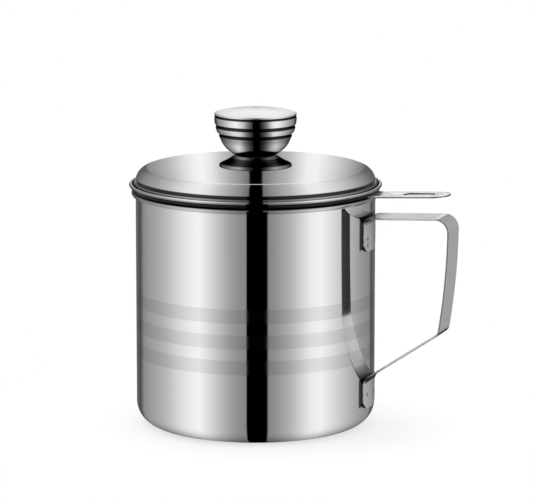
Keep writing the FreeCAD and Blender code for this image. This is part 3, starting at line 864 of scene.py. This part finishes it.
def wire_tree():
    """Woven disc: rows of wire along X that pass over and under, and the same turned. The
    tree, and its inputs by name."""
    tree = bpy.data.node_groups.new("woven_disc", "GeometryNodeTree")
    sockets = {}
    for label in ("Radius", "Pitch", "Wire", "Height", "Material"):
        kind = "NodeSocketMaterial" if label == "Material" else "NodeSocketFloat"
        sockets[label] = tree.interface.new_socket(label, in_out="INPUT", socket_type=kind)
    tree.interface.new_socket("Geometry", in_out="OUTPUT", socket_type="NodeSocketGeometry")
    nodes, links = tree.nodes, tree.links
    given = nodes.new("NodeGroupInput").outputs

    def add(kind, inputs):
        return new_node(tree, kind, inputs)[0]

    def calc(operation, *values):
        return new_node(tree, "ShaderNodeMath", dict(enumerate(values)), operation=operation)[0]

    def vector(x=0.0, y=0.0, z=0.0):
        return add("ShaderNodeCombineXYZ", {0: x, 1: y, 2: z})

    half_rows = calc("FLOOR", calc("DIVIDE", given["Radius"], given["Pitch"]))
    start = calc("MULTIPLY", calc("MULTIPLY", half_rows, given["Pitch"]), -1.0)
    wire = add("GeometryNodeMeshLine", {
        "Count": calc("MULTIPLY_ADD", half_rows, 4.0, 1.0), "Start Location": vector(x=start),
        "Offset": vector(x=calc("MULTIPLY", given["Pitch"], 0.5))})
    rows = add("GeometryNodeMeshLine", {
        "Count": calc("MULTIPLY_ADD", half_rows, 2.0, 1.0), "Start Location": vector(y=start),
        "Offset": vector(y=given["Pitch"])})
    copies = add("GeometryNodeInstanceOnPoints", {"Points": rows, "Instance": wire})
    laid = add("GeometryNodeRealizeInstances", {"Geometry": copies})
    x, y, _ = new_node(tree, "ShaderNodeSeparateXYZ", {
        0: nodes.new("GeometryNodeInputPosition").outputs[0]})
    phase = calc("DIVIDE", calc("ADD", x, y), given["Pitch"])
    wave = calc("COSINE", calc("MULTIPLY", phase, math.pi))
    height = calc("MULTIPLY", wave, calc("MULTIPLY", given["Wire"], WIRE_WAVE))
    woven = add("GeometryNodeSetPosition", {"Geometry": laid, "Offset": vector(z=height)})
    away = calc("SQRT", calc("ADD", calc("MULTIPLY", x, x), calc("MULTIPLY", y, y)))
    outside = calc("GREATER_THAN", away, calc("SUBTRACT", given["Radius"], given["Wire"]))
    trimmed = add("GeometryNodeDeleteGeometry", {"Geometry": woven, "Selection": outside})
    wires = add("GeometryNodeCurveToMesh", {
        "Curve": add("GeometryNodeMeshToCurve", {0: trimmed}), "Fill Caps": True,
        "Profile Curve": add("GeometryNodeCurvePrimitiveCircle", {
            "Resolution": 4, "Radius": given["Wire"]})})
    across = add("GeometryNodeTransform", {
        "Geometry": wires, "Rotation": (math.pi, 0.0, math.pi / 2)})
    both = nodes.new("GeometryNodeJoinGeometry")
    links.new(wires, both.inputs[0])
    links.new(across, both.inputs[0])
    level = add("GeometryNodeTransform", {
        "Geometry": both.outputs[0], "Translation": vector(z=given["Height"])})
    smooth = add("GeometryNodeSetShadeSmooth", {"Geometry": level})
    real = add("GeometryNodeRealizeInstances", {"Geometry": smooth})
    paint = add("GeometryNodeSetMaterial", {"Geometry": real, "Material": given["Material"]})
    links.new(paint, nodes.new("NodeGroupOutput").inputs[0])
    return tree, sockets


def baked(name, tree, sockets, values):
    """The plain mesh that a tree makes, as an object."""
    carrier = bpy.data.objects.new(name + "_carrier", bpy.data.meshes.new(name + "_carrier"))
    bpy.context.scene.collection.objects.link(carrier)
    modifier = carrier.modifiers.new("tree", "NODES")
    modifier.node_group = tree
    for label, value in values.items():
        modifier[sockets[label].identifier] = value
    shown = carrier.evaluated_get(bpy.context.evaluated_depsgraph_get())
    mesh = bpy.data.meshes.new_from_object(shown)
    if not mesh.polygons:
        raise RuntimeError(name + " came out empty")
    mesh.name = name
    bpy.data.objects.remove(carrier)
    piece = bpy.data.objects.new(name, mesh)
    bpy.context.scene.collection.objects.link(piece)
    return piece


class MakeStrainerMesh(CanOperator, bpy.types.Operator):
    """Make the strainer's woven wire disc"""
    bl_idname = "grease_can.strainer_mesh"
    bl_label = "Strainer mesh"

    def execute(self, context):
        tree, sockets = wire_tree()
        material = finish_of("woven_wire")
        piece = baked("woven_mesh", tree, sockets, {
            "Radius": MESH_RADIUS * MM, "Pitch": self.sizes.mesh_pitch,
            "Wire": self.sizes.mesh_wire, "Height": MESH_MIDDLE * MM, "Material": material})
        place(piece, "strainer", "mesh_steel", material, "strainer_mesh")
        return {"FINISHED"}


class MakeLid(CanOperator, bpy.types.Operator):
    """Make the pressed lid with its round shoulder and inner skirt"""
    bl_idname = "grease_can.lid"
    bl_label = "Lid"

    def execute(self, context):
        rows = run(LID_POINTS, LID_BENDS, self.sizes.arc_step, spacing=3.0)
        piece = turned("lid_dome", sheet_outline(rows, LID_SHEET), self.sizes.turn_steps)
        self.keep_crease(piece.data)
        place(piece, "lid", "mirror_steel", finish_of("mirror_lid"), "lid_shell")
        return {"FINISHED"}

    def keep_crease(self, mesh):
        """Where the flat top breaks over into the shoulder the shading changes at once."""
        radius, height = (c * MM for c in LID_CREASE)
        near = [math.hypot(math.hypot(v.co.x, v.co.y) - radius, v.co.z - height) < 0.1 * MM
                for v in mesh.vertices]
        for edge in mesh.edges:
            if all(near[i] for i in edge.vertices):
                edge.use_edge_sharp = True


class MakeKnob(CanOperator, bpy.types.Operator):
    """Make the knob: its collar, grooved bowl and domed cap"""
    bl_idname = "grease_can.knob"
    bl_label = "Knob"

    def execute(self, context):
        steps = self.sizes.turn_steps
        rows = run(COLLAR_POINTS, COLLAR_BENDS, self.sizes.arc_step)
        collar = turned("knob_foot", sheet_outline(rows, COLLAR_SHEET), steps)
        place(collar, "lid", "mirror_steel", finish_of("painted_dark_collar"), "knob_collar")
        rows = run(BOWL_POINTS, BOWL_BENDS, self.sizes.arc_step, spacing=0.15)
        bowl = turned("knob_cup", self.grooved(rows), steps)
        place(bowl, "lid", "mirror_steel", finish_of("mirror_bowl"), "knob_bowl")
        cap = turned("knob_top", self.cap_outline(), steps, closed=False)
        place(cap, "lid", "mirror_steel", finish_of("mirror_cap"), "knob_cap")
        # The lid mirrors neither the knob nor what holds it
        for piece in (collar, bowl, cap):
            piece.visible_glossy = False
        return {"FINISHED"}

    def grooved(self, rows):
        """Section of the bowl, its outside pressed in at the grooves."""
        half = BOWL_SHEET / 2
        outside, inside = [], []
        for (r, z), n in rows:
            dip = 0.0
            for level in GROOVES:
                away = abs(z - n[1] * half - level)
                if away < GROOVE_RADIUS:
                    dip += max(0.0, math.sqrt(GROOVE_RADIUS ** 2 - away ** 2)
                               - GROOVE_RADIUS + GROOVE_DEPTH)
            outside.append((r - n[0] * (half - dip), min(CAP_UNDER, z - n[1] * (half - dip))))
            inside.append((r + n[0] * half, min(CAP_UNDER, z + n[1] * half)))
        return outside + inside[::-1]

    def cap_outline(self):
        """Section of the cap from the top of the dome round its edge to the underside."""
        shoulder = CAP_UNDER + CAP_EDGE
        dome = (CAP_RADIUS ** 2 + CAP_CROWN ** 2) / (2 * CAP_CROWN)
        centre = shoulder + CAP_CROWN - dome
        round_r = CAP_RADIUS - CAP_ROUND
        round_z = centre + math.sqrt((dome - CAP_ROUND) ** 2 - round_r ** 2)
        tilt = math.degrees(math.atan2(round_r, round_z - centre))
        inner, inner_dome = CAP_RADIUS - CAP_SHEET, dome - CAP_SHEET
        edge = math.degrees(math.asin(inner / inner_dome))
        points = arc_points((0.0, centre), dome, 90, 90 - tilt, CAP_STEPS)
        points += arc_points((round_r, round_z), CAP_ROUND, 90 - tilt, 0, steps=8)[1:]
        points += [(CAP_RADIUS, CAP_UNDER), (inner, CAP_UNDER)]
        return points + arc_points((0.0, centre), inner_dome, 90 - edge, 90, steps=12)


class DressFastening(CanOperator, bpy.types.Operator):
    """Finish the solids that are shown as they are: clamp ring, screw, washers and boss"""
    bl_idname = "grease_can.fastening"
    bl_label = "Clamp ring and fastening"

    def execute(self, context):
        finishes = {
            "strainer_mesh_ring": "mirror_strainer", "knob_screw": "plated_fastener",
            "knob_washer": "plated_fastener", "knob_lock_washer": "plated_fastener",
            "knob_insert": "boss_plastic"}
        for node, finish in finishes.items():
            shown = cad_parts[node]
            shown.data.materials.clear()
            shown.data.materials.append(finish_of(finish))
            if node.startswith("knob_"):
                shown.visible_glossy = False
        return {"FINISHED"}


# Brightness of the surround across the can, from its left edge (-1) to its right edge (1)
WALL_TONES = [
    (-1.0, 0.17), (-0.975, 0.11), (-0.962, 0.07), (-0.945, 0.16), (-0.93, 0.29), (-0.89, 0.36),
    (-0.806, 0.46), (-0.722, 0.60), (-0.638, 0.80), (-0.554, 0.96), (-0.469, 1.06),
    (-0.385, 0.84), (-0.3, 0.61), (-0.216, 0.42), (-0.132, 0.31), (-0.076, 0.28),
    (-0.072, 0.0), (0.1, 0.0), (0.104, 0.28), (0.155, 0.31), (0.289, 0.52), (0.373, 0.74),
    (0.457, 0.97), (0.541, 1.04), (0.626, 0.86), (0.71, 0.68), (0.8, 0.5), (0.88, 0.36),
    (0.945, 0.28), (0.963, 0.07), (0.98, 0.14), (1.0, 0.17)]
LID_TONES = [
    (-1.0, 0.12), (-0.97, 0.2), (-0.93, 0.3), (-0.87, 0.36), (-0.806, 0.45), (-0.722, 0.59),
    (-0.638, 0.78), (-0.554, 0.93), (-0.469, 1.0), (-0.385, 0.86), (-0.3, 0.62),
    (-0.216, 0.45), (-0.132, 0.31), (-0.062, 0.19), (-0.048, 0.0), (0.055, 0.0),
    (0.07, 0.19), (0.13, 0.29), (0.21, 0.41), (0.289, 0.52), (0.373, 0.74), (0.457, 0.95),
    (0.541, 0.97), (0.626, 0.84), (0.71, 0.69), (0.8, 0.52), (0.88, 0.36), (0.94, 0.24),
    (0.97, 0.17), (1.0, 0.12)]

# Borders between the parts of the surround, each from and to. The first four are lengths,
# where a direction is one long, and the others are tilts in degrees
LID_SIDES = (0.043, 0.05)
LID_BACK = (0.284, 0.292)
LID_DEPTH = (0.015, 0.02)
GRAZING = (0.08, 0.25)
TOP_TO = (15.0, 19.0)
GRAZING_FROM = (30.0, 44.0)
SHOULDER_TO = (74.0, 88.0)
WALL_TO_FOOT = (110.0, 162.0)
GRAZING_LIFT = 12.0
# The lid as the rest camera sees it: how far left of the middle it stands, as a share of its
# distance, and what makes its half width one
LID_OFFSET = 0.00303
LID_SCALE = 24.3
# Lean of a nearly flat face, from and to, with its brightness from and to
LEAN = (1.16, 0.7, -0.29, 0.29)
FOOT_SHARE = 0.68
EDGE_TONE = (0.16, 0.16, 0.16)
LEAST = 0.00001


class MakeStudio(CanOperator, bpy.types.Operator):
    """Make the camera, the white world, the pale floor and the light surround"""
    bl_idname = "grease_can.studio"
    bl_label = "Studio"

    def execute(self, context):
        scene = context.scene
        scene.view_settings.view_transform = "Standard"
        self.make_camera(scene)
        self.make_world(scene)
        self.make_floor(scene.can_studio.floor_radius)
        self.make_surround(scene.can_studio.surround_radius)
        return {"FINISHED"}

    def make_camera(self, scene):
        data = bpy.data.cameras.new("camera")
        camera = bpy.data.objects.new("camera", data)
        scene.collection.objects.link(camera)
        data.lens = scene.can_studio.lens
        data.sensor_width = 36.0
        data.clip_start, data.clip_end = 0.05, 20.0
        turn, pitch = math.radians(CAMERA_TURN), math.radians(CAMERA_PITCH)
        ahead = Vector((-math.cos(pitch) * math.sin(turn), math.cos(pitch) * math.cos(turn),
                        -math.sin(pitch)))
        camera.location = [c * MM for c in CAMERA_PLACE]
        camera.rotation_mode = "QUATERNION"
        camera.rotation_quaternion = ahead.to_track_quat("-Z", "Y")
        scene.camera = camera

    def make_world(self, scene):
        world = bpy.data.worlds.new("white_room")
        world.use_nodes = True
        background = world.node_tree.nodes["Background"].inputs
        background["Color"].default_value = (1, 1, 1, 1)
        background["Strength"].default_value = 1.0
        scene.world = world

    def make_floor(self, radius):
        """A pale disc that camera and glass see as white, with the object's shadow; it is hidden
        from metal's reflections.
        """
        mesh_data = bmesh.new()
        bmesh.ops.create_circle(mesh_data, cap_ends=True, segments=96, radius=radius)
        floor = new_object("floor", mesh_data)
        floor.location.z = -FLOOR_DROP * MM
        made = Finish("pale_floor")
        rays = made.add("ShaderNodeLightPath", {})
        seen = made.math("MAXIMUM", rays["Is Camera Ray"], made.math(
            "MAXIMUM", rays["Is Glossy Ray"], rays["Is Transmission Ray"]))
        for name, value in (("Base Color", (0.6, 0.6, 0.6, 1)), ("Roughness", 0.9),
                            ("Emission Color", (1, 1, 1, 1)),
                            ("Emission Strength", made.math("MULTIPLY", seen, 0.5))):
            made.feed(made.shader.inputs[name], value)
        floor.data.materials.append(made.material)
        floor.visible_glossy = False

    def make_surround(self, radius):
        """A large bright shell that only shiny surfaces see: soft boxes and a black flag."""
        mesh_data = bmesh.new()
        bmesh.ops.create_icosphere(mesh_data, subdivisions=5, radius=radius)
        surround = new_object("surround", mesh_data)
        for ray in ("camera", "diffuse", "transmission", "volume_scatter", "shadow"):
            setattr(surround, "visible_" + ray, False)
        surround.data.materials.append(self.surround_material())

    def surround_material(self):
        """Tones by direction. Each is laid where a face that mirrors it to the rest camera
        looks: half way between that direction and the camera's own."""
        made = Finish("studio_surround")
        made.nodes.remove(made.shader)
        turn, pitch = math.radians(CAMERA_TURN), math.radians(CAMERA_PITCH)
        way = made.add("ShaderNodeVectorMath", {0: made.point}, operation="NORMALIZE")[0]

        def ramp(tones, value):
            node = made.nodes.new("ShaderNodeValToRGB")
            marks = node.color_ramp.elements
            while len(marks) < len(tones):
                marks.new(0.5)
            for mark, (share, tone) in zip(marks, tones):
                mark.position = (share + 1) / 2
                mark.color = (tone, tone, tone, 1)
            made.feed(node.inputs["Fac"], made.math("MULTIPLY_ADD", value, 0.5, 0.5))
            return node.outputs["Color"]

        def inverse(value):
            return made.math("SUBTRACT", 1.0, value)

        right = made.dot(way, (math.cos(turn), math.sin(turn), 0.0))
        back = made.dot(way, (-math.sin(turn), math.cos(turn), 0.0))
        half_back = made.math("SUBTRACT", back, math.cos(pitch))
        half_up = made.math("ADD", made.split(way)[2], math.sin(pitch))
        level = made.length(right, half_back)
        tilt = made.math("ARCTAN2", level, half_up)

        def tilted(border, angle=tilt):
            return made.fade(angle, *(math.radians(a) for a in border))

        across = made.math("DIVIDE", right, made.math("MAXIMUM", level, LEAST))
        wall = ramp(WALL_TONES, across)
        offset = made.math("ADD", right, LID_OFFSET)
        lid = ramp(LID_TONES, made.math("MULTIPLY", offset, LID_SCALE))
        outside = made.math("MAXIMUM", made.fade(made.math("ABSOLUTE", offset), *LID_SIDES),
                            inverse(made.fade(half_up, *LID_BACK)))
        depth = made.math("ABSOLUTE", made.math("ADD", half_back, 0.001))
        outside = made.math("MAXIMUM", outside, made.fade(depth, *LID_DEPTH))
        lean = made.math("DIVIDE", half_back, made.math("MAXIMUM", half_up, LEAST))
        white = made.spread(lean, *LEAN)
        top = made.mixed(outside, lid, made.add("ShaderNodeCombineColor", {
            0: white, 1: white, 2: white})[0])
        shoulder = made.mixed(tilted(SHOULDER_TO), ramp(LID_TONES, across), wall)
        grazing = inverse(made.fade(made.length(level, half_up), *GRAZING))
        steady = made.math("MULTIPLY_ADD", grazing, -math.radians(GRAZING_LIFT), tilt)
        sides = made.mixed(tilted(TOP_TO, steady), top, shoulder)
        foot = made.mixed(FOOT_SHARE, wall, (0.0, 0.0, 0.0))
        tone = made.mixed(made.product(grazing, tilted(GRAZING_FROM)),
                          made.mixed(tilted(WALL_TO_FOOT), sides, foot), EDGE_TONE)
        glow = made.add("ShaderNodeEmission", {"Color": tone})[0]
        made.feed(made.nodes["Material Output"].inputs["Surface"], glow)
        made.material.cycles.emission_sampling = "NONE"
        return made.material


class CanPanel(bpy.types.Panel):
    """Lists the pieces of the container"""
    bl_idname = "VIEW3D_PT_grease_can"
    bl_label = "Grease can"
    bl_space_type = "VIEW_3D"
    bl_region_type = "UI"
    bl_category = "Grease can"

    def draw(self, context):
        for group in (context.scene.can_sizes, context.scene.can_finish,
                      context.scene.can_studio):
            box = self.layout.box()
            for key in group.__annotations__:
                box.prop(group, key)
        for operator in OPERATORS:
            self.layout.operator(operator.bl_idname)


OPERATORS = [MakePotBody, MakePotHandle, MakeStrainer, MakeStrainerMesh, MakeLid, MakeKnob,
             DressFastening, MakeStudio]
GROUPS = {"can_sizes": CanSizes, "can_finish": CanFinish, "can_studio": CanStudio}


def register():
    for kind in [*GROUPS.values(), *OPERATORS, CanPanel]:
        bpy.utils.register_class(kind)
    for name, group in GROUPS.items():
        setattr(bpy.types.Scene, name, PointerProperty(type=group))


def unregister():
    for name in GROUPS:
        delattr(bpy.types.Scene, name)
    for kind in reversed([*GROUPS.values(), *OPERATORS, CanPanel]):
        bpy.utils.unregister_class(kind)


def main():
    register()
    for operator in OPERATORS:
        group, name = operator.bl_idname.split(".")
        getattr(getattr(bpy.ops, group), name)()


if __name__ == "__main__":
    main()
